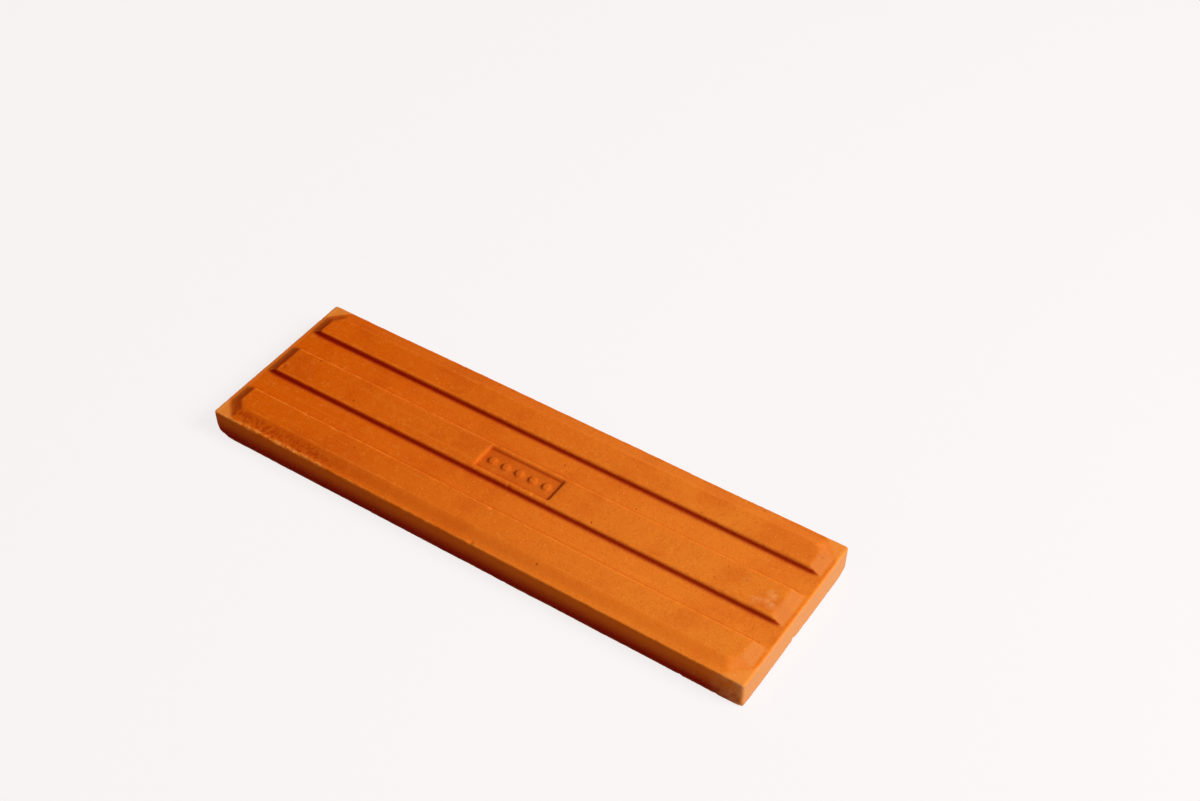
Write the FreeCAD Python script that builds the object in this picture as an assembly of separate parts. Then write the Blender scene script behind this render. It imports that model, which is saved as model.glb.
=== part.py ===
import FreeCAD, Part
import math
import os

# A cladding tile of pressed and fired clay: one piece, lying on its plain weather face with its
# keyed back up.  A low bevelled field is raised on the back, two grooves that run from end to end
# part it into three pads, and the middle pad holds a small sunk label panel with plain round studs.
#
# Frame, in millimetres: X along the tile, Y across it, Z up.  The origin is the middle of the
# plain face, which lies on z = 0.

# ---- Slab ----
TILE_LENGTH = 240.0
TILE_WIDTH = 75.0
SLAB_THICKNESS = 12.2       # plain face to the rim around the back, and to the groove floors
CORNER_RADIUS = 1.0         # the four upright edges
ARRIS_RADIUS = 0.6          # the edges around the plain face and around the rim

# ---- Raised field on the back ----
PAD_HEIGHT = 2.2            # how far the pads stand above the rim
RIM_WIDTH = 1.8             # tile's edge to the foot of the field's bevel
BEVEL_RUN = 4.8             # width of the bevel, seen from above
FIELD_CORNER_CUT = 6.2      # each leg of the cut across a corner of the field's foot
PAD_EDGE_RADIUS = 0.8       # softened edges around the pads' tops

# ---- Grooves ----
PAD_COUNT = 3
GROOVE_FLOOR_WIDTH = 10.8
GROOVE_WALL_RUN = 0.6       # how far each steep wall leans, seen from above

# ---- Label panel, sunk in the middle pad ----
LABEL_LENGTH = 34.0
LABEL_DEPTH = 0.9
LABEL_WALL_RUN = 0.4
LABEL_SIDE_MARGIN = 2.0     # pad left on each side of the panel
STUD_COUNT = 5
STUD_RADIUS = 1.9
STUD_HEIGHT = 0.6
STUD_WALL_RUN = 0.3
STUD_PITCH = 6.2

# ---- Worked out from the sizes above ----
PAD_TOP_Z = SLAB_THICKNESS + PAD_HEIGHT
FIELD_LENGTH = TILE_LENGTH - 2 * RIM_WIDTH
FIELD_WIDTH = TILE_WIDTH - 2 * RIM_WIDTH
PAD_WIDTH = (FIELD_WIDTH - (PAD_COUNT - 1) * GROOVE_FLOOR_WIDTH) / PAD_COUNT
PAD_PITCH = PAD_WIDTH + GROOVE_FLOOR_WIDTH
LABEL_WIDTH = PAD_WIDTH - 2 * GROOVE_WALL_RUN - 2 * LABEL_SIDE_MARGIN


def flat_face(corners):
    return Part.Face(Part.makePolygon(corners + corners[:1]))


def frustum(lower, lower_z, upper, upper_z):
    """The flat-sided solid between two plan outlines (x, y) that have as many points each."""
    below = [FreeCAD.Vector(x, y, lower_z) for x, y in lower]
    above = [FreeCAD.Vector(x, y, upper_z) for x, y in upper]
    faces = [flat_face(below), flat_face(above)]
    for index in range(len(lower)):
        following = (index + 1) % len(lower)
        faces.append(flat_face([below[index], below[following], above[following], above[index]]))
    return Part.Solid(Part.Shell(faces))


def rectangle(length, width):
    half_x = length / 2
    half_y = width / 2
    return [(-half_x, -half_y), (half_x, -half_y), (half_x, half_y), (-half_x, half_y)]


def cut_rectangle(length, width, leg):
    """The plan of a rectangle with its four corners cut across at 45 degrees."""
    half_x = length / 2
    half_y = width / 2
    return [(-half_x + leg, -half_y), (half_x - leg, -half_y),
            (half_x, -half_y + leg), (half_x, half_y - leg),
            (half_x - leg, half_y), (-half_x + leg, half_y),
            (-half_x, half_y - leg), (-half_x, -half_y + leg)]


def make_slab():
    slab = Part.makeBox(TILE_LENGTH, TILE_WIDTH, SLAB_THICKNESS,
                        FreeCAD.Vector(-TILE_LENGTH / 2, -TILE_WIDTH / 2, 0))
    upright = [edge for edge in slab.Edges if abs(edge.BoundBox.ZLength - SLAB_THICKNESS) < 1e-6]
    slab = slab.makeFillet(CORNER_RADIUS, upright)
    around = [edge for edge in slab.Edges if edge.BoundBox.ZLength < 1e-6]
    return slab.makeFillet(ARRIS_RADIUS, around)


def make_field():
    """The raised field, parted into pads by the grooves, with its upper edges softened."""
    top_leg = FIELD_CORNER_CUT - BEVEL_RUN * (2 - math.sqrt(2))
    foot = cut_rectangle(FIELD_LENGTH, FIELD_WIDTH, FIELD_CORNER_CUT)
    top = cut_rectangle(FIELD_LENGTH - 2 * BEVEL_RUN, FIELD_WIDTH - 2 * BEVEL_RUN, top_leg)
    field = frustum(foot, SLAB_THICKNESS, top, PAD_TOP_Z)
    for gap in range(PAD_COUNT - 1):
        centre_y = (gap - (PAD_COUNT - 2) / 2) * PAD_PITCH
        field = field.cut(groove(centre_y))
    raised = [edge for edge in field.Edges if edge.BoundBox.ZMax > PAD_TOP_Z - 1e-6]
    return field.makeFillet(PAD_EDGE_RADIUS, raised)


def groove(centre_y):
    """What a groove takes out of the field: a tapering bar, longer than the tile."""
    floor_half = GROOVE_FLOOR_WIDTH / 2
    mouth_half = floor_half + GROOVE_WALL_RUN
    section = [(-floor_half, SLAB_THICKNESS), (floor_half, SLAB_THICKNESS),
               (mouth_half, PAD_TOP_Z), (-mouth_half, PAD_TOP_Z)]
    end_face = flat_face([FreeCAD.Vector(-TILE_LENGTH, centre_y + y, z) for y, z in section])
    return end_face.extrude(FreeCAD.Vector(2 * TILE_LENGTH, 0, 0))


def make_label_recess():
    floor_z = PAD_TOP_Z - LABEL_DEPTH
    floor = rectangle(LABEL_LENGTH - 2 * LABEL_WALL_RUN, LABEL_WIDTH - 2 * LABEL_WALL_RUN)
    return frustum(floor, floor_z, rectangle(LABEL_LENGTH, LABEL_WIDTH), PAD_TOP_Z)


def make_studs():
    """The row of plain round studs on the panel's floor."""
    floor_z = PAD_TOP_Z - LABEL_DEPTH
    studs = []
    for index in range(STUD_COUNT):
        centre_x = (index - (STUD_COUNT - 1) / 2) * STUD_PITCH
        studs.append(Part.makeCone(STUD_RADIUS, STUD_RADIUS - STUD_WALL_RUN, STUD_HEIGHT,
                                   FreeCAD.Vector(centre_x, 0, floor_z)))
    return studs


def make_tile():
    tile = make_slab().fuse(make_field())
    tile = tile.cut(make_label_recess())
    tile = tile.fuse(make_studs())
    return tile.removeSplitter()


os.makedirs("parts", exist_ok=True)
tile = make_tile()
tile.exportStep("parts/cladding_tile.step")
box = tile.BoundBox
print("cladding_tile: %d solid, valid %s, %.2f x %.2f x %.2f mm, %.0f mm3, %d faces"
      % (len(tile.Solids), tile.isValid(), box.XLength, box.YLength, box.ZLength,
         tile.Volume, len(tile.Faces)))
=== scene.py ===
import math
import random

import bpy
import numpy as np
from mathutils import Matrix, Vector, noise
from mathutils.bvhtree import BVHTree
from mathutils.geometry import delaunay_2d_cdt


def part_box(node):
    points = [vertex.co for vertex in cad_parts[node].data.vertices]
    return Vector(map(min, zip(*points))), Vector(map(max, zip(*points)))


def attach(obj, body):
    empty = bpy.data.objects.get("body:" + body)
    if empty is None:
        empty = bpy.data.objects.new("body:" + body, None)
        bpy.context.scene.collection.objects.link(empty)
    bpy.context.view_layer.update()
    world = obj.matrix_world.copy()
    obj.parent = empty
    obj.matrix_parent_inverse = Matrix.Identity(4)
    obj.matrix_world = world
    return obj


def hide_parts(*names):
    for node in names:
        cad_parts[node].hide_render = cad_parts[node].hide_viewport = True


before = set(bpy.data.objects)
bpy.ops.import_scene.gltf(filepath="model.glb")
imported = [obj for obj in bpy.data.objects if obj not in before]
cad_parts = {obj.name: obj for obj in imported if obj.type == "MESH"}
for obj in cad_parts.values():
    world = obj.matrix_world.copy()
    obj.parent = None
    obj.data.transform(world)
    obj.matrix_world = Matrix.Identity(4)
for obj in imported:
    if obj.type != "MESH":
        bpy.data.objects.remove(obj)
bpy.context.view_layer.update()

# A pressed and fired clay cladding tile, lying on its plain weather face with its keyed back up.
# The tile's skin is one closed mesh, laid over the CAD solid and then given the unevenness of
# pressed clay.  Everything is in metres, and MM turns millimetres into metres.

MM = 0.001
TILE = "cladding_tile"
LOW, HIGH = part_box(TILE)
MIDDLE = (LOW + HIGH) / 2
LENGTH = HIGH.x - LOW.x
WIDTH = HIGH.y - LOW.y


# ---- Camera --------------------------------------------------------------------------------------

CAMERA_AZIMUTH = math.radians(33.67)      # from straight in front, round towards the right end
CAMERA_ELEVATION = math.radians(44.19)
CAMERA_DISTANCE = 0.7093
CAMERA_LENS = 54.14                       # in mm, as its sensor is
CAMERA_SENSOR = 36.0
AIM_PAST_TILE = Vector((0.0025, 0.0510, 0.0122))   # the tile sits low and left in the view


def add_camera():
    data = bpy.data.cameras.new("camera")
    data.lens = CAMERA_LENS
    data.sensor_width = CAMERA_SENSOR
    camera = bpy.data.objects.new("camera", data)
    away = Vector((math.sin(CAMERA_AZIMUTH) * math.cos(CAMERA_ELEVATION),
                   -math.cos(CAMERA_AZIMUTH) * math.cos(CAMERA_ELEVATION),
                   math.sin(CAMERA_ELEVATION)))
    aim = Vector((MIDDLE.x, MIDDLE.y, LOW.z)) + AIM_PAST_TILE
    camera.location = aim + away * CAMERA_DISTANCE
    camera.rotation_euler = away.to_track_quat("Z", "Y").to_euler()
    bpy.context.scene.collection.objects.link(camera)
    bpy.context.scene.camera = camera


# ---- Reading the CAD solid -----------------------------------------------------------------------

RIM_PROBE = 1.3 * MM          # a plan distance from the tile's edge that always lands on the rim
RAY_START = 10 * MM           # how far outside the solid each measuring ray starts


class Solid:
    """The CAD solid of the tile, read for its surface."""

    def __init__(self, node):
        self.corners = np.array([vertex.co for vertex in node.data.vertices])
        faces = [tuple(polygon.vertices) for polygon in node.data.polygons]
        self.tree = BVHTree.FromPolygons([Vector(corner) for corner in self.corners], faces)
        self.rim = self.height(MIDDLE.x, LOW.y + RIM_PROBE)
        self.corner_radius = self.rounding((HIGH.x, HIGH.y, MIDDLE.z), (1, 1, 0))
        self.rim_arris = self.rounding((MIDDLE.x, HIGH.y, self.rim), (0, 1, 1))
        self.face_arris = self.rounding((MIDDLE.x, HIGH.y, LOW.z), (0, 1, -1))

    def height(self, x, y):
        """How high the back stands at a plan point."""
        return self.tree.ray_cast(Vector((x, y, HIGH.z + RAY_START)), Vector((0, 0, -1)))[0].z

    def rounding(self, corner, outward):
        """The radius that rounds off a square corner."""
        corner = Vector(corner)
        outward = Vector(outward).normalized()
        hit = self.tree.ray_cast(corner + outward * RAY_START, -outward)[0]
        return (corner - hit).length / (math.sqrt(2) - 1)


# ---- The tile's skin: laying the mesh ------------------------------------------------------------

FINEST_STEP = 0.30 * MM       # closest grid lines, where the solid has small features
COARSEST_STEP = 0.74 * MM     # widest grid step on the keyed back
FACE_STEP = 1.9 * MM          # spacing of the points inside the plain face
FACE_WELD = 1e-5              # how near, in mm, points of the plain face count as one
ARRIS_RINGS = 4               # rings of faces round each arris
SIDE_RINGS = 11               # rings of faces up the sides
SOFTENING_PASSES = 2          # how often the back's heights are averaged with their neighbours
MAP_GUTTER = 2 * MM           # space between the islands of the bake map


def grid_lines(values, inset):
    """Grid positions through the solid's own corners, thinned and filled to the steps above."""
    edge = max(values) - inset
    kept = [-edge]
    for value in sorted(values):
        if value - kept[-1] >= FINEST_STEP and value <= edge - FINEST_STEP:
            kept.append(value)
    lines = []
    for start, stop in zip(kept, kept[1:] + [edge]):
        steps = math.ceil((stop - start) / COARSEST_STEP)
        lines += [start + (stop - start) * step / steps for step in range(steps)]
    return np.array(lines + [edge])


def soften(heights):
    """Averages a grid of heights with their neighbours, as pressed clay has no crisp edges."""
    for _ in range(SOFTENING_PASSES):
        around = (heights[:-2, 1:-1] + heights[2:, 1:-1] + heights[1:-1, :-2] + heights[1:-1, 2:]) / 4
        heights[1:-1, 1:-1] = (heights[1:-1, 1:-1] + around) / 2


def side_profile(solid):
    """How far out and how high each ring of the skirt lies, from the rim down to the face."""
    rim_arris = solid.rim_arris
    face_arris = solid.face_arris
    profile = []
    for ring in range(1, ARRIS_RINGS + 1):
        turn = math.pi / 2 * ring / ARRIS_RINGS
        profile.append((rim_arris * math.sin(turn), solid.rim - rim_arris * (1 - math.cos(turn))))
    drop = solid.rim - rim_arris - face_arris - LOW.z
    for ring in range(1, SIDE_RINGS + 1):
        profile.append((rim_arris, solid.rim - rim_arris - drop * ring / SIDE_RINGS))
    for ring in range(1, ARRIS_RINGS + 1):
        turn = math.pi / 2 * ring / ARRIS_RINGS
        profile.append((rim_arris - face_arris * (1 - math.cos(turn)),
                        LOW.z + face_arris * (1 - math.sin(turn))))
    return profile


class Skin:
    """The points and faces of the tile's skin, with each face corner's place on the bake map."""

    def __init__(self, solid):
        self.faces = []
        self.map_places = []
        self.lay_back(solid)
        self.back_faces = len(self.faces)
        self.lay_skirt(side_profile(solid))
        self.lay_face()

    def add_face(self, corners, island, places):
        self.faces.append(corners)
        self.map_places += [(island[0] + u, island[1] + v) for u, v in places]

    def lay_back(self, solid):
        """A grid over the keyed back, whose square corners are drawn in to arcs."""
        upper = solid.corners[solid.corners[:, 2] > solid.rim - solid.rim_arris]
        x, y = np.meshgrid(grid_lines(upper[:, 0], solid.rim_arris),
                           grid_lines(upper[:, 1], solid.rim_arris))
        radius = solid.corner_radius - solid.rim_arris
        past_x = np.sign(x) * np.maximum(np.abs(x) - (x.max() - radius), 0)
        past_y = np.sign(y) * np.maximum(np.abs(y) - (y.max() - radius), 0)
        diagonal = np.hypot(past_x, past_y)
        kept = np.divide(np.maximum(np.abs(past_x), np.abs(past_y)), diagonal,
                         out=np.ones_like(diagonal), where=diagonal > 0)
        x = x - past_x * (1 - kept)
        y = y - past_y * (1 - kept)
        z = np.array([solid.height(*place) for place in zip(x.flat, y.flat)]).reshape(x.shape)
        soften(z)
        self.points = np.stack([x, y, z], -1).reshape(-1, 3)

        index = np.arange(x.size).reshape(x.shape)
        quads = np.stack([index[:-1, :-1], index[:-1, 1:], index[1:, 1:], index[1:, :-1]], -1)
        for quad in quads.reshape(-1, 4).tolist():
            places = self.points[quad][:, :2] - (LOW.x, LOW.y)
            self.add_face(quad, (MAP_GUTTER, MAP_GUTTER), places)
        self.loop = np.concatenate([index[0, :-1], index[:-1, -1], index[-1, :0:-1], index[:0:-1, 0]])
        outward = np.stack([past_x.flat[self.loop], past_y.flat[self.loop]], -1)
        self.outward = outward / np.linalg.norm(outward, axis=1)[:, None]

    def lay_skirt(self, profile):
        """Rings round the sides, each one a step outwards or down from the back's own edge."""
        rings = [self.loop]
        edge = self.points[self.loop]
        travelled = [0.0]
        before = (0.0, edge[0, 2])
        for out, height in profile:
            rings.append(np.arange(len(self.loop)) + len(self.points))
            ring = edge.copy()
            ring[:, :2] += self.outward * out
            ring[:, 2] = height
            self.points = np.concatenate([self.points, ring])
            travelled.append(travelled[-1] + math.dist(before, (out, height)))
            before = (out, height)

        # Each side's way out in x and y, then where its strip of the map starts, and in which row.
        sides = [((0, -1), MAP_GUTTER, 0), ((1, 0), MAP_GUTTER, 2),
                 ((0, 1), MAP_GUTTER, 1), ((-1, 0), MAP_GUTTER * 2 + WIDTH, 2)]
        strip = travelled[-1] + MAP_GUTTER
        above = 3 * MAP_GUTTER + 2 * WIDTH
        for column in range(len(self.loop)):
            following = (column + 1) % len(self.loop)
            facing = self.outward[column] + self.outward[following]
            normal, left, row = max(sides, key=lambda side: np.dot(facing, side[0]))
            island = (left, above + row * strip)
            half = LENGTH / 2 if normal[1] else WIDTH / 2
            for ring in range(len(profile)):
                quad = [rings[ring][column], rings[ring + 1][column],
                        rings[ring + 1][following], rings[ring][following]]
                downs = [travelled[ring], travelled[ring + 1], travelled[ring + 1], travelled[ring]]
                places = []
                for corner, down in zip(quad, downs):
                    x, y, _ = self.points[corner] - (MIDDLE.x, MIDDLE.y, 0)
                    places.append((half - x * normal[1] + y * normal[0], travelled[-1] - down))
                self.add_face([int(corner) for corner in quad], island, places)
        self.loop = rings[-1]

    def lay_face(self):
        """Triangles over the plain face, as fine as the skirt at its edge and coarser inside."""
        edge = self.points[self.loop]
        half_x = edge[:, 0].max() - FACE_STEP / 2
        half_y = edge[:, 1].max() - FACE_STEP / 2
        xs = np.linspace(-half_x, half_x, round(2 * half_x / FACE_STEP))
        ys = np.linspace(-half_y, half_y, round(2 * half_y / FACE_STEP))
        inside = np.array([(x, y) for y in ys[1:-1] for x in xs[1:-1]])
        plan = np.concatenate([edge[:, :2], inside])
        triangles = delaunay_2d_cdt([Vector(place / MM) for place in plan], [], [], 0, FACE_WELD)[2]
        own = np.concatenate([self.loop, np.arange(len(inside)) + len(self.points)])
        added = np.column_stack([inside, np.full(len(inside), edge[0, 2])])
        self.points = np.concatenate([self.points, added])
        island = (MAP_GUTTER, 2 * MAP_GUTTER + WIDTH)
        for triangle in triangles:
            corners = own[list(reversed(triangle))].tolist()
            places = [(HIGH.x - self.points[corner][0], self.points[corner][1] - LOW.y)
                      for corner in corners]
            self.add_face(corners, island, places)


# ---- Making shader nodes -------------------------------------------------------------------------

def colour(red, green, blue):
    """A colour given as on a paint card, from 0 to 255."""
    def linear(part):
        part /= 255
        return part / 12.92 if part <= 0.04045 else ((part + 0.055) / 1.055) ** 2.4
    return (linear(red), linear(green), linear(blue), 1.0)


def feed(tree, socket, value):
    """Gives an input its value: another node's output, or a plain number, vector or colour."""
    if isinstance(value, bpy.types.NodeSocket):
        tree.links.new(value, socket)
    else:
        socket.default_value = value


def add(tree, kind, inputs=None, **settings):
    """A new shader node with its settings and inputs."""
    made = tree.nodes.new("ShaderNode" + kind)
    for name, value in settings.items():
        setattr(made, name, value)
    for name, value in (inputs or {}).items():
        feed(tree, made.inputs[name], value)
    return made


def use(tree, group, **inputs):
    """An effect's group placed in a material; an underscore in a name stands for a space."""
    made = add(tree, "Group", node_tree=group)
    for name, value in inputs.items():
        feed(tree, made.inputs[name.replace("_", " ")], value)
    return made.outputs


def calculate(tree, operation, first, second=0.0, clamp=False):
    return add(tree, "Math", {0: first, 1: second}, operation=operation, use_clamp=clamp).outputs[0]


def blend(tree, share, first, second):
    """The colour that goes from first to second as share goes from 0 to 1."""
    made = add(tree, "Mix", {"Factor": share}, data_type="RGBA")
    feed(tree, made.inputs[6], first)
    feed(tree, made.inputs[7], second)
    return made.outputs[2]


def ramp(tree, value, start, stop, low=0.0, high=1.0):
    """Low to high, smoothly, as value goes from start to stop."""
    return add(tree, "MapRange", {"Value": value, "From Min": start, "From Max": stop,
                                  "To Min": low, "To Max": high},
               interpolation_type="SMOOTHSTEP").outputs["Result"]


def cloudy(tree, place, grain, detail=3.0, roughness=0.6):
    """Noise from about 0.3 to 0.7, whose swells are one grain across."""
    scale = calculate(tree, "DIVIDE", 1.0, grain)
    return add(tree, "TexNoise", {"Vector": place, "Scale": scale, "Detail": detail,
                                  "Roughness": roughness}).outputs["Fac"]


def new_effect(name, inputs, outputs):
    """An empty node group: its tree, what it is given, and what it puts out.

    An input whose value is None is a vector.
    """
    tree = bpy.data.node_groups.new(name, "ShaderNodeTree")
    for label, value in inputs.items():
        kind = {float: "NodeSocketFloat", tuple: "NodeSocketColor"}.get(type(value),
                                                                       "NodeSocketVector")
        socket = tree.interface.new_socket(label, in_out="INPUT", socket_type=kind)
        if value is not None:
            socket.default_value = value
    for label in outputs:
        kind = "NodeSocketColor" if label == "Color" else "NodeSocketFloat"
        tree.interface.new_socket(label, in_out="OUTPUT", socket_type=kind)
    return tree, tree.nodes.new("NodeGroupInput").outputs, tree.nodes.new("NodeGroupOutput").inputs


# ---- Effects that both clays share ---------------------------------------------------------------

SMALL_CLOUDS = 0.2                     # how large the paler clouds are beside the deeper ones
GRAIN_SPACING = 1.4                    # from one grain's cell to the next, in grains
PIT_SPACING = 2.6
GRAIN_HEIGHT = 0.4                     # beside the height of the sand itself
PIT_DROP = 1.4
DRAG_STRETCH = (0.015, 1.0, 0.4)       # draws noise out along the tile


def make_clouds():
    """Slow changes in the fired colour: clouds of deeper clay and small paler ones."""
    tree, given, result = new_effect(
        "fired_clouds",
        {"Vector": None, "Clay": colour(200, 90, 10), "Deep": colour(180, 70, 5),
         "Pale": colour(230, 140, 70), "Cloud Size": 0.02},
        ["Color"])
    large = cloudy(tree, given["Vector"], given["Cloud Size"])
    small_size = calculate(tree, "MULTIPLY", given["Cloud Size"], SMALL_CLOUDS)
    small = cloudy(tree, given["Vector"], small_size, detail=4.0)
    deep = ramp(tree, large, 0.56, 0.34, high=0.3)
    pale = ramp(tree, small, 0.5, 0.76, high=0.25)
    clay = blend(tree, deep, given["Clay"], given["Deep"])
    feed(tree, result["Color"], blend(tree, pale, clay, given["Pale"]))
    return tree


def make_sand():
    """The sandy grain: its height and tone, with masks of pale grains and of the pits they left."""
    tree, given, result = new_effect(
        "sandy_grain",
        {"Vector": None, "Grain Size": 0.0006, "Grain Share": 0.1, "Pit Share": 0.05},
        ["Height", "Tone", "Grains", "Pits"])

    def dots(spacing, share, edge, core):
        """Round dots in a share of the cells, full inside their core and gone at their edge."""
        scale = calculate(tree, "DIVIDE", 1.0 / spacing, given["Grain Size"])
        cells = add(tree, "TexVoronoi", {"Vector": given["Vector"], "Scale": scale})
        lot = add(tree, "SeparateColor", {"Color": cells.outputs["Color"]}).outputs["Red"]
        chosen = calculate(tree, "LESS_THAN", lot, share)
        dot = ramp(tree, cells.outputs["Distance"], edge, core)
        return calculate(tree, "MULTIPLY", dot, chosen)

    tone = cloudy(tree, given["Vector"], given["Grain Size"], detail=4.0, roughness=0.7)
    grains = dots(GRAIN_SPACING, given["Grain Share"], edge=0.5, core=0.2)
    pits = dots(PIT_SPACING, given["Pit Share"], edge=0.36, core=0.14)
    height = calculate(tree, "ADD", tone, calculate(tree, "MULTIPLY", grains, GRAIN_HEIGHT))
    height = calculate(tree, "SUBTRACT", height, calculate(tree, "MULTIPLY", pits, PIT_DROP))
    feed(tree, result["Height"], height)
    feed(tree, result["Tone"], tone)
    feed(tree, result["Grains"], grains)
    feed(tree, result["Pits"], pits)
    return tree


def make_drag_lines():
    """Faint lines drawn along the tile by the press."""
    tree, given, result = new_effect("drag_lines", {"Vector": None, "Spacing": 0.0014}, ["Lines"])
    stretched = add(tree, "VectorMath", {0: given["Vector"], 1: DRAG_STRETCH},
                    operation="MULTIPLY").outputs[0]
    feed(tree, result["Lines"], cloudy(tree, stretched, given["Spacing"]))
    return tree


def make_patchy_marks():
    """A mask broken into patches: rubbed edges with painted highlight, and dust with painted light.
    """
    tree, given, result = new_effect(
        "patchy_marks", {"Vector": None, "Edge": 0.0, "Patch Size": 0.004}, ["Mask"])
    noise_level = cloudy(tree, given["Vector"], given["Patch Size"], detail=4.0, roughness=0.7)
    patches = ramp(tree, noise_level, 0.36, 0.62)
    feed(tree, result["Mask"], calculate(tree, "MULTIPLY", given["Edge"], patches))
    return tree


# ---- The clay ------------------------------------------------------------------------------------

# The clay from the left end to the right end is painted light falloff, paler towards the lit end.
SHADED_LEFT_CLAY = colour(214, 91, 0)         # the left end is deeper in colour than the right
LIT_RIGHT_CLAY = colour(222, 120, 34)
DEEP_CLAY = colour(186, 60, 0)
PALE_CLAY = colour(232, 130, 40)
# Rubbed arrises, which also carry a painted highlight.
RUB_AND_HIGHLIGHT_CLAY = colour(236, 126, 36)
# Rubbed rim corners, pale crumbs; painted light at right corner, far right slope, left slopes' foot.
RUB_AND_LIGHT_CLAY = colour(232, 138, 56)
# Painted highlight on the pads' far edges and on the slopes towards the lit right end.
HIGHLIGHT_CLAY = colour(252, 124, 24)
# Dust on the scuffs, and painted light on the near side's right corner.
DUST_AND_LIGHT_CLAY = colour(230, 152, 92)
# The slopes at the right end are greyer.
GREYED_CLAY = colour(186, 120, 66)
# Painted shade in grooves, label panel, left-end slopes and low long sides; also the dark crumbs.
SHADE_AND_CRUMB_CLAY = colour(156, 20, 0)
SIDE_CLAY = colour(214, 92, 8)
END_CLAY = colour(206, 144, 92)
PALE_GRAIN = colour(244, 158, 76)
PIT = colour(130, 36, 0)
CLAY_SHINE = 0.05

# The levels of noise where a tint starts and where it is full.
DEEP_TONE = (0.52, 0.3)
PALE_TONE = (0.52, 0.72)
DRAG_LINE = (0.58, 0.74)
TONE_SPAN = (0.3, 0.7)
GRAINLESS = 0.28                       # the level of painted shade and dark crumbs at which the pale grains are lost

# Each clay's tints, in the order in which they are laid: where a tint lies, its colour and its
# strength.  A place that make_clay doesn't work out is a mask on the mesh.
BACK_TINTS = [
    ("deep_tone", DEEP_CLAY, 0.42), ("pale_tone", PALE_CLAY, 0.34), ("drag_lines", PALE_CLAY, 0.22),
    ("worn", RUB_AND_HIGHLIGHT_CLAY, 0.75), ("greyed", GREYED_CLAY, 0.45), ("shade_and_dark_crumbs", SHADE_AND_CRUMB_CLAY, 1.0),
    ("rub_and_light", RUB_AND_LIGHT_CLAY, 1.0), ("painted_highlight", HIGHLIGHT_CLAY, 1.0), ("dust_and_light", DUST_AND_LIGHT_CLAY, 0.7),
    ("open_grains", PALE_GRAIN, 0.28), ("pits", PIT, 0.5)]
SLAB_TINTS = [
    ("long_side", SIDE_CLAY, 0.8), ("shade_and_dark_crumbs", SHADE_AND_CRUMB_CLAY, 1.0), ("cut_end", END_CLAY, 0.85),
    ("deep_tone", DEEP_CLAY, 0.35), ("drag_lines", PALE_CLAY, 0.16), ("worn", RUB_AND_HIGHLIGHT_CLAY, 0.6),
    ("rub_and_light", RUB_AND_LIGHT_CLAY, 1.0), ("dust_and_light", DUST_AND_LIGHT_CLAY, 0.6), ("grains", PALE_GRAIN, 0.25),
    ("pits", PIT, 0.5)]

# The size of each clay's clouds, grains and patches, the share of cells that hold a grain or a pit,
# its drag lines' spacing and their height beside the sand's, how deep its bumps are, and how rough
# it is.
BACK_GRAIN = {"clouds": 24 * MM, "grains": 0.7 * MM, "grain_share": 0.05, "pit_share": 0.007,
              "lines": 1.4 * MM, "line_height": 0.5, "rub_and_highlight_patches": 4 * MM,
              "dust_and_light_patches": 3 * MM, "bumps": 0.1 * MM, "roughness": (0.84, 0.94)}
SLAB_GRAIN = {"clouds": 34 * MM, "grains": 0.5 * MM, "grain_share": 0.04, "pit_share": 0.02,
              "lines": 2 * MM, "line_height": 0.3, "rub_and_highlight_patches": 5 * MM,
              "dust_and_light_patches": 4 * MM, "bumps": 0.06 * MM, "roughness": (0.8, 0.92)}


def fired_clay(tree, place, effects, cloud_size):
    """The clay's cloudy colour, with painted light falloff: paler towards the lit right end."""
    along = add(tree, "SeparateXYZ", {"Vector": place}).outputs["X"]
    clay = blend(tree, ramp(tree, along, -LENGTH / 2, LENGTH / 2), SHADED_LEFT_CLAY, LIT_RIGHT_CLAY)
    return use(tree, effects["clouds"], Vector=place, Clay=clay, Deep=DEEP_CLAY, Pale=PALE_CLAY,
               Cloud_Size=cloud_size)["Color"]


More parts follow.
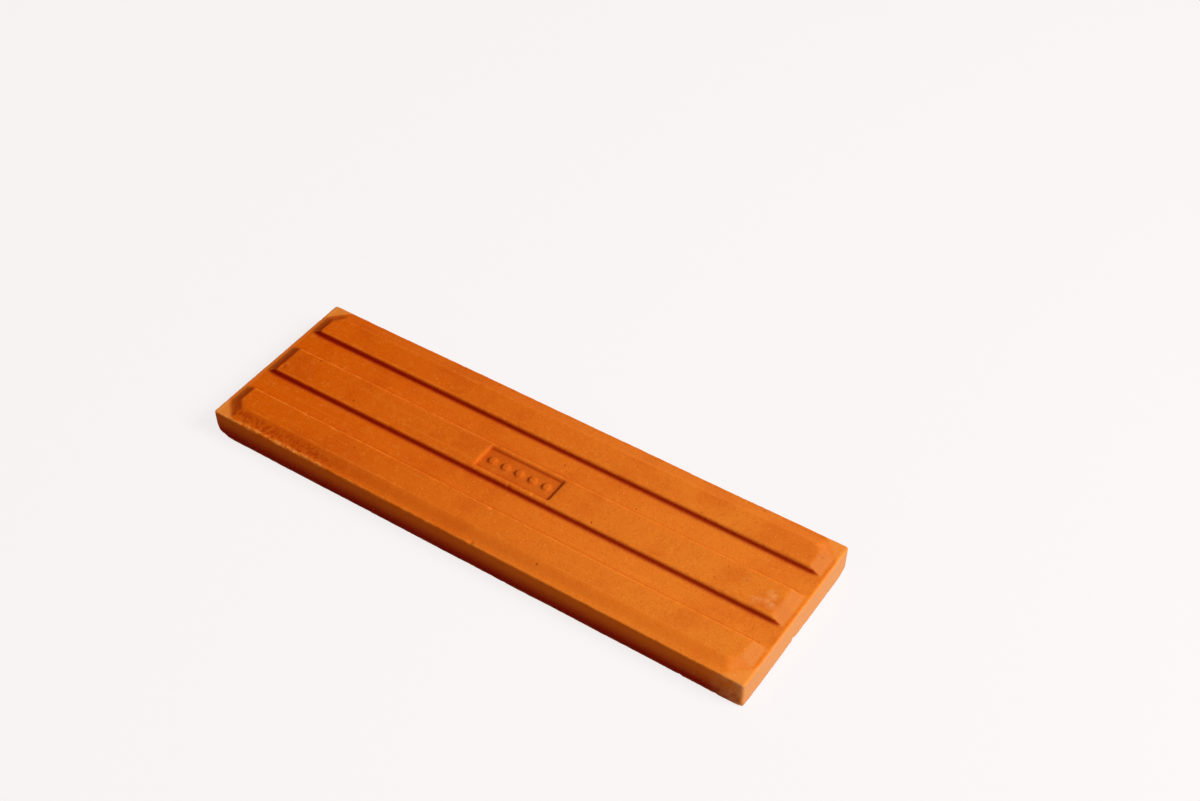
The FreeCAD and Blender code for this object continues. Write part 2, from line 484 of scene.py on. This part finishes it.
def make_clay(name, effects, tints, grain):
    """A clay with a grain of its own and its tints laid one over another."""
    material = bpy.data.materials.new(name)
    material.use_nodes = True
    tree = material.node_tree
    tree.nodes.clear()
    place = add(tree, "TexCoord").outputs["Object"]
    sand = use(tree, effects["sand"], Vector=place, Grain_Size=grain["grains"],
               Grain_Share=grain["grain_share"], Pit_Share=grain["pit_share"])
    lines = use(tree, effects["drag"], Vector=place, Spacing=grain["lines"])["Lines"]

    def mask(attribute):
        return add(tree, "Attribute", attribute_name=attribute).outputs["Fac"]

    def in_patches(attribute, size):
        return use(tree, effects["rub"], Vector=place, Edge=mask(attribute), Patch_Size=size)["Mask"]

    def open_grains():
        """The grains outside the painted shade and the dark crumbs."""
        lost = calculate(tree, "DIVIDE", mask("shade_and_dark_crumbs"), GRAINLESS)
        shown = calculate(tree, "SUBTRACT", 1.0, lost, clamp=True)
        return calculate(tree, "MULTIPLY", sand["Grains"], shown)

    worked_out = {
        "deep_tone": lambda: ramp(tree, sand["Tone"], *DEEP_TONE),
        "pale_tone": lambda: ramp(tree, sand["Tone"], *PALE_TONE),
        "drag_lines": lambda: ramp(tree, lines, *DRAG_LINE),
        "worn": lambda: in_patches("worn", grain["rub_and_highlight_patches"]),
        "dust_and_light": lambda: in_patches("dust_and_light", grain["dust_and_light_patches"]),
        "grains": lambda: sand["Grains"],
        "open_grains": open_grains,
        "pits": lambda: sand["Pits"]}
    clay = fired_clay(tree, place, effects, grain["clouds"])
    for where, tint, strength in tints:
        share = worked_out[where]() if where in worked_out else mask(where)
        clay = blend(tree, calculate(tree, "MULTIPLY", share, strength), clay, tint)

    line_height = calculate(tree, "MULTIPLY", lines, grain["line_height"])
    bumps = add(tree, "Bump", {"Height": calculate(tree, "ADD", sand["Height"], line_height),
                               "Distance": grain["bumps"]})
    surface = add(tree, "BsdfPrincipled", {
        "Base Color": clay, "Roughness": ramp(tree, sand["Tone"], *TONE_SPAN, *grain["roughness"]),
        "Specular IOR Level": CLAY_SHINE, "Normal": bumps.outputs["Normal"]})
    out = add(tree, "OutputMaterial")
    tree.links.new(surface.outputs["BSDF"], out.inputs["Surface"])
    return material


# ---- The tile: how uneven and worn it is ---------------------------------------------------------

# Where two distances or levels are given together, the first is where a thing starts and the second
# is where it is full.

SHARP = (60, 300)                        # curvature of an arris, in 1/m
SPREADS = 2                              # how often curvature is spread to the points beside

# The layers of the clay's unevenness: its slow waves, dimples, grit, and the lines that the press
# draws along it.  Each has a grain, a depth, octaves of noise, and its own start in the noise.
UNEVENNESS = [(48 * MM, 0.16 * MM, 2, 0.0), (7 * MM, 0.05 * MM, 3, 5.1),
              (1.5 * MM, 0.035 * MM, 3, 9.7), ((70 * MM, 1.6 * MM, 8 * MM), 0.03 * MM, 2, 3.3)]
RAGGED_GRAIN = 1.6 * MM                  # the arrises' own unevenness
RAGGED_DEPTH = 0.06 * MM
RAGGED_LOSS = 0.6                        # how far it goes inwards on the whole, over its depth

# The stretch of the near rim that crumbled: from the left end, in from the near side, and how far
# below the rim.
CRUMBLED_FROM = (2 * MM, 10 * MM)
CRUMBLED_TO = (66 * MM, 46.2 * MM)
CRUMBLED_IN = (7 * MM, 3.5 * MM)
CRUMBLED_DOWN = (0.9 * MM, 0.3 * MM)
CRUMBLE = 4.0                            # how much more ragged the rim is there
CRUMB_GRAIN = 1.2 * MM
CRUMB_HEIGHT = 0.07 * MM
PALE_CRUMBS = (-0.15, 0.2)               # levels of noise
DARK_CRUMBS = (0.0, 0.3)
LIP = (1.8 * MM, 0.9 * MM)               # in from the near side, where the crumbs are pale

SEED = 7
CHIP_COUNT = 22
CHIPPED_SHARPNESS = 0.8                  # how sharp an arris is where it can chip
CHIP_REACH = (0.8 * MM, 1.8 * MM)        # the smallest and the largest
CHIP_DEPTH = 0.24                        # a chip's depth over its reach

# Upright corners that are rounded off towards the plain face: the corner's sides in x and y, the
# most that it is cut in, and how high the rounding goes.
WORN_CORNERS = [(-1, -1, 2.1 * MM, 6.5 * MM), (1, -1, 0.5 * MM, 3 * MM),
                (1, 1, 1.0 * MM, 5 * MM), (-1, 1, 1.4 * MM, 6 * MM)]
CORNER_REACH = 7 * MM                    # how far along the sides a worn corner goes

# Scuffs and pits on the back: from the tile's left end, from its near side, and how wide.
SCUFFS = [(230 * MM, 35 * MM, 4 * MM), (229 * MM, 39 * MM, 3 * MM), (225 * MM, 33.5 * MM, 3.4 * MM),
          (218 * MM, 39.5 * MM, 2 * MM)]
PITS = [(29 * MM, 4 * MM, 1.0 * MM), (8 * MM, 23.5 * MM, 0.9 * MM), (41 * MM, 54 * MM, 0.8 * MM),
        (149 * MM, 66 * MM, 0.8 * MM), (7.5 * MM, 33 * MM, 1.6 * MM)]
PIT_DEPTH = 0.45                         # a pit's depth over its width


def uneven(points, grain, octaves, offset):
    """Noise at each point, about -1 to 1, whose swells are one grain across."""
    places = points / np.array(grain) + offset
    return np.array([noise.fractal(place, 1.0, 2.0, octaves) for place in places.tolist()])


def smooth_step(value, start, full):
    share = np.clip((value - start) / (full - start), 0, 1)
    return share * share * (3 - 2 * share)


def curvature_of(mesh, points, normals):
    """Each point's mean curvature, in 1/m: above 0 on an arris and below 0 in a hollow."""
    ends = np.zeros(len(mesh.edges) * 2, np.int32)
    mesh.edges.foreach_get("vertices", ends)
    ends = ends.reshape(-1, 2).T
    own, other = np.concatenate([ends, ends[::-1]], 1)
    across = points[own] - points[other]
    bends = 2 * (normals[own] * across).sum(1) / (across ** 2).sum(1)
    neighbours = np.bincount(own)
    curvature = np.bincount(own, bends) / neighbours
    for _ in range(SPREADS):
        curvature = (curvature + np.bincount(own, curvature[other]) / neighbours) / 2
    return curvature


def crumbled(solid, points):
    """1 in the stretch of the near rim that has crumbled, down to 0 outside it."""
    from_left = points[:, 0] - LOW.x
    return (smooth_step(from_left, *CRUMBLED_FROM) * smooth_step(from_left, *CRUMBLED_TO)
            * smooth_step(points[:, 1] - LOW.y, *CRUMBLED_IN)
            * smooth_step(solid.rim - points[:, 2], *CRUMBLED_DOWN))


def nearness(points, from_left, from_near, reach):
    """1 at a place on the back, down to 0 at its reach."""
    away = np.hypot(points[:, 0] - LOW.x - from_left, points[:, 1] - LOW.y - from_near)
    return (1 - smooth_step(away, 0, reach)) * (points[:, 2] > MIDDLE.z)


def roughen(solid, points, normals, sharp):
    """Moves the points in and out as pressed and dried clay is uneven."""
    lift = np.zeros(len(points))
    for grain, depth, octaves, offset in UNEVENNESS:
        lift += depth * uneven(points, grain, octaves, offset)
    crumbs = crumbled(solid, points)
    lift += CRUMB_HEIGHT * crumbs * uneven(points, CRUMB_GRAIN, octaves=2, offset=4.4)
    ragged = sharp * (1 + CRUMBLE * crumbs)
    nibbled = RAGGED_LOSS + uneven(points, RAGGED_GRAIN, octaves=3, offset=1.9)
    lift -= RAGGED_DEPTH * ragged * nibbled
    points += normals * lift[:, None]


def chip_arrises(points, normals, sharp):
    """Takes small bites out of the arrises, at random places on them."""
    picker = random.Random(SEED)
    arris = np.flatnonzero(sharp > CHIPPED_SHARPNESS)
    for _ in range(CHIP_COUNT):
        centre = int(picker.choice(arris))
        reach = picker.uniform(*CHIP_REACH)
        away = np.linalg.norm(points - points[centre], axis=1)
        bite = CHIP_DEPTH * reach * (1 - smooth_step(away, 0, reach))
        points -= normals[centre] * bite[:, None]


def press_pits(points):
    for from_left, from_near, width in PITS:
        points[:, 2] -= PIT_DEPTH * width * nearness(points, from_left, from_near, width)


def wear_corners(points):
    """Draws the upright corners in, more and more towards the plain face."""
    for side_x, side_y, depth, height in WORN_CORNERS:
        corner = (MIDDLE.x + side_x * LENGTH / 2, MIDDLE.y + side_y * WIDTH / 2)
        away = np.linalg.norm(points[:, :2] - corner, axis=1)
        below = np.clip((LOW.z + height - points[:, 2]) / height, 0, 1)
        worn = depth * (1 - smooth_step(away, 0, CORNER_REACH)) * (1 - np.sqrt(1 - below ** 2))
        points[:, 0] -= side_x * worn / math.sqrt(2)
        points[:, 1] -= side_y * worn / math.sqrt(2)


# ---- The tile: where its tints lie ---------------------------------------------------------------

# Where each mask lies, and how strong it is there.
TINTED = {
    # Painted shade, lighter at the left slopes' foot, and the real dark crumbs behind the near rim.
    "shade_and_dark_crumbs": {"sheltered": 1.0, "left_slope": 0.52, "left_foot": -0.44, "near_slope_left": 0.1,
               "panel_floor": 0.22, "dark_crumbs": 0.5},
    "greyed": {"right_slope": 1.0},
    # Rubbed rim corners, pale crumbs and a paler left rim; the other places get painted light.
    "rub_and_light": {"rim_corners": 0.75, "pale_crumbs": 0.9, "left_rim": 0.3, "right_corner": 0.35,
                   "far_slope_right": 0.2, "left_foot": 0.12},
    # Painted highlights.
    "painted_highlight": {"far_edges": 0.3, "near_slope_right": 0.28, "far_slope_right": 0.12},
    # Dust on the scuffs, and painted light on the near side's right corner.
    "dust_and_light": {"scuffs": 1.0, "right_corner": 1.0},
    "cut_end": {"ends": 1.0},
    "long_side": {"long_sides": 1.0},
}
# Edges that face the near side, away from the light, lose most of their painted highlight.
LESS_RUB_AND_HIGHLIGHT = {"faces_near": 0.9, "by_panel": 0.6}     # where arrises get less rub and painted highlight, and how much

SHELTER_TURNS = 8                        # ways in which higher clay is looked for
SHELTER_REACH = 1.8 * MM                 # how near a higher place shelters a point
PAD_STEP = 1.5 * MM                      # and how much higher it is then
SHELTERED = (0.05, 0.9)                  # shares of the ways that are shut
EDGE_MARGIN = 3 * MM                     # the strip round the back that nothing shelters
STEEP = (0.35, 0.75)                     # how far a groove's wall leans
WALL_TOP = (0.12 * MM, 0.5 * MM)         # how far below the pads' tops the walls' painted shade starts and is full
WALL_DROP = 0.4 * MM                     # how much lower that is at the right end
WALL_FADE = 0.12                         # and how much weaker the walls' painted shade is there

FACING = 0.5                             # how squarely a face looks one way to count as facing it
ARRIS_FACING = (0.15, 0.5)
SIDE_FACING = (0.75, 0.95)
END_FACING = (0.5, 0.9)
LOW_SIDE = (10 * MM, 2 * MM)             # above the floor, on the long sides, where painted shade darkens them low down
RIM_GONE = (0.2 * MM, 0.6 * MM)          # above or below the rim
LEFT_RIM = (2.6 * MM, 1.4 * MM)          # in from the left end
CORNER_RUB_GONE = (8 * MM, 10.5 * MM)    # from a rim corner, along both sides together
RIGHT_CORNER = (16 * MM, 0)              # in from the right end, on the near side
NEAR_SIDE_DEPTH = 2 * MM                 # how far in the near side's own faces lie
SLOPE_TILT = (0.1, 0.4)                  # how far a slope of the field leans
SLOPE_REACH = (12 * MM, 7 * MM)          # in from the tile's edge
SLOPE_FOOT = (1.8 * MM, 0.3 * MM)        # above the rim
PAD_EDGE_TILT = (0.03, 0.3)              # how far a pad's far edge leans
PAD_EDGE_DROP = (0.7 * MM, 0.4 * MM)     # and how far below the pads' tops it lies
PANEL = (17 * MM, 6 * MM)                # half the label panel's length and width
PANEL_SURROUND = (20 * MM, 8.2 * MM)     # and half those of the clay round it


def shelter(solid, points, normals):
    """Painted shade: how much higher clay shuts each point of the back in; full on the grooves' steep
    near walls.
    """
    shut_in = np.zeros(len(points))
    inside = ((abs(points[:, 0] - MIDDLE.x) < LENGTH / 2 - EDGE_MARGIN)
              & (abs(points[:, 1] - MIDDLE.y) < WIDTH / 2 - EDGE_MARGIN)
              & (points[:, 2] > MIDDLE.z))
    for turn in range(SHELTER_TURNS):
        step_x = SHELTER_REACH * math.cos(turn * math.tau / SHELTER_TURNS)
        step_y = SHELTER_REACH * math.sin(turn * math.tau / SHELTER_TURNS)
        beside = np.array([solid.height(x + step_x, y + step_y) for x, y, _ in points[inside]])
        higher = np.clip((beside - points[inside, 2]) / PAD_STEP, 0, 1)
        shut_in[inside] += higher / SHELTER_TURNS
    to_right = (points[:, 0] - LOW.x) / LENGTH
    walls = smooth_step(-normals[:, 1], *STEEP) * inside
    walls *= smooth_step(HIGH.z - points[:, 2] - WALL_DROP * to_right, *WALL_TOP)
    return np.maximum(smooth_step(shut_in, *SHELTERED), walls * (1 - WALL_FADE * to_right))


def tinted_places(solid, points, normals):
    """How fully each point lies in each place that has a tint of its own, from 0 to 1."""
    x, y, z = points.T
    along, across, up = normals.T
    to_right = (x - LOW.x) / LENGTH
    raised = z > solid.rim
    from_corner = LENGTH / 2 - abs(x - MIDDLE.x) + WIDTH / 2 - abs(y - MIDDLE.y)
    from_middle = abs(points[:, :2] - (MIDDLE.x, MIDDLE.y))
    on_rim = 1 - smooth_step(abs(z - solid.rim), *RIM_GONE)
    long_sides = smooth_step(abs(across), *SIDE_FACING)
    # The long sides get painted shade low down, towards the floor.
    low_sides = long_sides * smooth_step(z - LOW.z, *LOW_SIDE)
    crumbs = crumbled(solid, points)
    on_lip = smooth_step(y - LOW.y, *LIP)
    pale = smooth_step(uneven(points, CRUMB_GRAIN, octaves=2, offset=6.6), *PALE_CRUMBS)
    dark = smooth_step(uneven(points, CRUMB_GRAIN, octaves=2, offset=8.2), *DARK_CRUMBS)

    def slope(lean, from_edge):
        """One side of the field's bevel."""
        return raised * smooth_step(lean, *SLOPE_TILT) * smooth_step(from_edge, *SLOPE_REACH)

    near_slope = slope(-across, y - LOW.y)
    # The left-end slopes face away from the light and get painted shade, lighter at their foot.
    left_slope = raised * smooth_step(-along, *SLOPE_TILT)
    # The pads' far edges lean towards the light and get a painted highlight.
    far_edges = smooth_step(across, *PAD_EDGE_TILT) * smooth_step(HIGH.z - z, *PAD_EDGE_DROP)
    far_edges *= HIGH.y - y > SLOPE_REACH[0]
    far_edges *= 1 - smooth_step(HIGH.x - x, SLOPE_REACH[1], 0)
    return {
        # painted shade in the hollows and on the grooves' near walls, and low on the long sides
        "sheltered": np.maximum(shelter(solid, points, normals), low_sides),
        "left_slope": left_slope,
        "left_foot": left_slope * smooth_step(z - solid.rim, *SLOPE_FOOT),
        "right_slope": slope(along, HIGH.x - x),
        # The near slope: painted shade towards the left end, painted highlight towards the lit right
        # end.
        "near_slope_left": near_slope * (1 - to_right),
        "near_slope_right": near_slope * to_right,
        # The far slope towards the right end faces the light and gets painted light.
        "far_slope_right": slope(across, HIGH.y - y) * to_right,
        "far_edges": far_edges,
        "faces_near": raised * smooth_step(-across, *ARRIS_FACING),
        "by_panel": raised * (from_middle < PANEL_SURROUND).all(1),
        # The label panel's recessed floor gets painted shade.
        "panel_floor": (from_middle < PANEL).all(1) * (up > FACING),
        "rim_corners": on_rim * (1 - smooth_step(from_corner, *CORNER_RUB_GONE)),
        "left_rim": on_rim * smooth_step(x - LOW.x, *LEFT_RIM),
        # The near side's right corner gets painted light.
        "right_corner": (smooth_step(HIGH.x - x, *RIGHT_CORNER) * (across < -FACING)
                         * (y - LOW.y < NEAR_SIDE_DEPTH)),
        "scuffs": sum(nearness(points, *scuff) for scuff in SCUFFS),
        "pale_crumbs": crumbs * on_lip * pale,
        "dark_crumbs": crumbs * (1 - on_lip) * dark,
        "ends": smooth_step(abs(along), *END_FACING),
        "long_sides": long_sides,
    }


def clay_masks(solid, points, normals, sharp):
    """How much of each tint lies at each point."""
    places = tinted_places(solid, points, normals)
    masks = {tint: sum(strength * places[place] for place, strength in parts.items())
             for tint, parts in TINTED.items()}
    # Rubbed arrises, which also carry a painted highlight, kept off the edges in shade.
    masks["worn"] = sharp
    for place, share in LESS_RUB_AND_HIGHLIGHT.items():
        masks["worn"] = masks["worn"] * (1 - share * places[place])
    return masks


# ---- The tile ------------------------------------------------------------------------------------

def make_tile(effects):
    solid = Solid(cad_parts[TILE])
    skin = Skin(solid)
    mesh = bpy.data.meshes.new("fired_tile")
    mesh.from_pydata(skin.points.tolist(), [], skin.faces)
    mesh.polygons.foreach_set("use_smooth", np.ones(len(mesh.polygons), bool))
    bake_map = mesh.uv_layers.new(name="OFBake")
    map_places = np.array(skin.map_places, np.float32) / (LENGTH + 2 * MAP_GUTTER)
    bake_map.data.foreach_set("uv", map_places.ravel())

    points = skin.points.copy()
    normals = np.array([normal.vector for normal in mesh.vertex_normals])
    sharp = smooth_step(curvature_of(mesh, points, normals), *SHARP)
    for name, values in clay_masks(solid, points, normals, sharp).items():
        mask = mesh.attributes.new(name, "FLOAT", "POINT")
        mask.data.foreach_set("value", values.clip(0, 1).astype(np.float32))

    roughen(solid, points, normals, sharp)
    chip_arrises(points, normals, sharp)
    press_pits(points)
    wear_corners(points)
    points[:, 2] = np.maximum(points[:, 2], LOW.z)
    mesh.vertices.foreach_set("co", points.astype(np.float32).ravel())

    mesh.materials.append(make_clay("sandy_keyed_back", effects, BACK_TINTS, BACK_GRAIN))
    mesh.materials.append(make_clay("smooth_slab_clay", effects, SLAB_TINTS, SLAB_GRAIN))
    past_back = np.arange(len(mesh.polygons)) >= skin.back_faces
    mesh.polygons.foreach_set("material_index", past_back.astype(np.int32))
    mesh.update()

    tile = bpy.data.objects.new("fired_tile", mesh)
    bpy.context.scene.collection.objects.link(tile)
    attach(tile, "root")
    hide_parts(TILE)


# ---- Floor, lights and world ---------------------------------------------------------------------

PAPER = colour(249, 245, 244)
FLOOR_PAINT = colour(252, 249, 248)
FLOOR_SIZE = 8.0
FLOOR_SHADE = 0.10              # how much of the floor's seen colour comes from the light on it
FLOOR_BOUNCE = colour(205, 201, 198)
SUN_STRENGTH = 1.55
SUN_ANGLE = math.radians(22)
LAMP_POWER = 11.8               # W
LAMP_SIZE = 0.6
LAMP_DISTANCE = 1.2
KEY_DIRECTION = Vector((1.1, 0.2, 1.0)).normalized()     # from the tile towards the lights
SKY_STRENGTH = 0.12


def seen_directly(tree):
    """1 for what the camera sees, straight or by a mirror or glass, and 0 for other light."""
    path = add(tree, "LightPath").outputs
    seen = calculate(tree, "ADD", path["Is Camera Ray"], path["Is Glossy Ray"])
    return calculate(tree, "ADD", seen, path["Is Transmission Ray"], clamp=True)


def add_floor():
    material = bpy.data.materials.new("pale_floor")
    material.use_nodes = True
    tree = material.node_tree
    tree.nodes.clear()
    lit = add(tree, "BsdfDiffuse", {"Color": FLOOR_PAINT}).outputs["BSDF"]
    glow = add(tree, "Emission", {"Color": PAPER, "Strength": 1.0}).outputs["Emission"]
    bounce = add(tree, "BsdfDiffuse", {"Color": FLOOR_BOUNCE}).outputs["BSDF"]
    seen = add(tree, "MixShader", {0: FLOOR_SHADE, 1: glow, 2: lit}).outputs[0]
    whole = add(tree, "MixShader", {0: seen_directly(tree), 1: bounce, 2: seen}).outputs[0]
    out = add(tree, "OutputMaterial")
    tree.links.new(whole, out.inputs["Surface"])
    mesh = bpy.data.meshes.new("floor")
    half = FLOOR_SIZE / 2
    mesh.from_pydata([(-half, -half, LOW.z), (half, -half, LOW.z), (half, half, LOW.z),
                      (-half, half, LOW.z)], [], [(0, 1, 2, 3)])
    mesh.materials.append(material)
    floor = bpy.data.objects.new("floor", mesh)
    bpy.context.scene.collection.objects.link(floor)


def add_light(name, kind, strength, **settings):
    """A light on the key side, turned to the tile."""
    data = bpy.data.lights.new(name, kind)
    data.energy = strength
    for setting, value in settings.items():
        setattr(data, setting, value)
    light = bpy.data.objects.new(name, data)
    light.location = MIDDLE + KEY_DIRECTION * LAMP_DISTANCE
    light.rotation_euler = KEY_DIRECTION.to_track_quat("Z", "Y").to_euler()
    bpy.context.scene.collection.objects.link(light)


def add_world():
    world = bpy.data.worlds.new("studio")
    world.use_nodes = True
    tree = world.node_tree
    tree.nodes.clear()
    sky = add(tree, "Background", {"Color": (1, 1, 1, 1), "Strength": SKY_STRENGTH}).outputs[0]
    paper = add(tree, "Background", {"Color": PAPER, "Strength": 1.0}).outputs[0]
    whole = add(tree, "MixShader", {0: seen_directly(tree), 1: sky, 2: paper}).outputs[0]
    out = add(tree, "OutputWorld")
    tree.links.new(whole, out.inputs["Surface"])
    bpy.context.scene.world = world


# ---- Everything together -------------------------------------------------------------------------

make_tile({"clouds": make_clouds(), "sand": make_sand(), "drag": make_drag_lines(),
           "rub": make_patchy_marks()})
add_floor()
add_light("soft_sun", "SUN", SUN_STRENGTH, angle=SUN_ANGLE)
add_light("near_lamp", "AREA", LAMP_POWER, shape="DISK", size=LAMP_SIZE)
add_world()
add_camera()
bpy.context.scene.view_settings.view_transform = "Standard"
